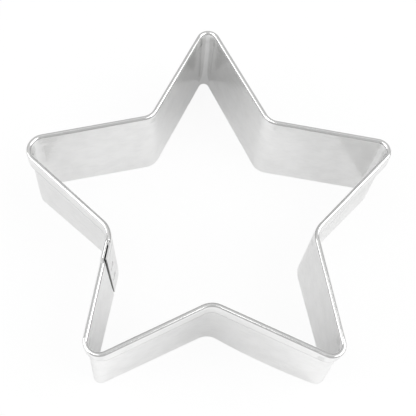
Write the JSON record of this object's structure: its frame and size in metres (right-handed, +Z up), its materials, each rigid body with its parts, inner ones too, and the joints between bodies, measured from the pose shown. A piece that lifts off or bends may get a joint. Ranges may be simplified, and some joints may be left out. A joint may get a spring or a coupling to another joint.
{
  "type": "cookie cutter",
  "caption": "Star-shaped cookie cutter bent from tinplate strip: rolled safety rim on top, plain cutting edge below, and a lapped, spot-welded seam at a waist.",
  "frame": {"origin": "middle of the cutter's outer box, on the plane of the cutting edge", "axes": "+Z up, from the cutting edge to the rolled rim; +Y towards the top tip of the star; +X towards its right tip"},
  "size_m": [0.089, 0.0874, 0.0254],
  "materials": {
    "tinplate": "bright tin plate with a faint rolled grain and a soft gloss",
    "spot_weld": "dull, slightly heat-tinted steel pressed by the electrodes"
  },
  "bodies": {
    "root": {"star_band": "tinplate", "lower_spot_weld": "spot_weld", "upper_spot_weld": "spot_weld"}
  },
  "joints": []
}
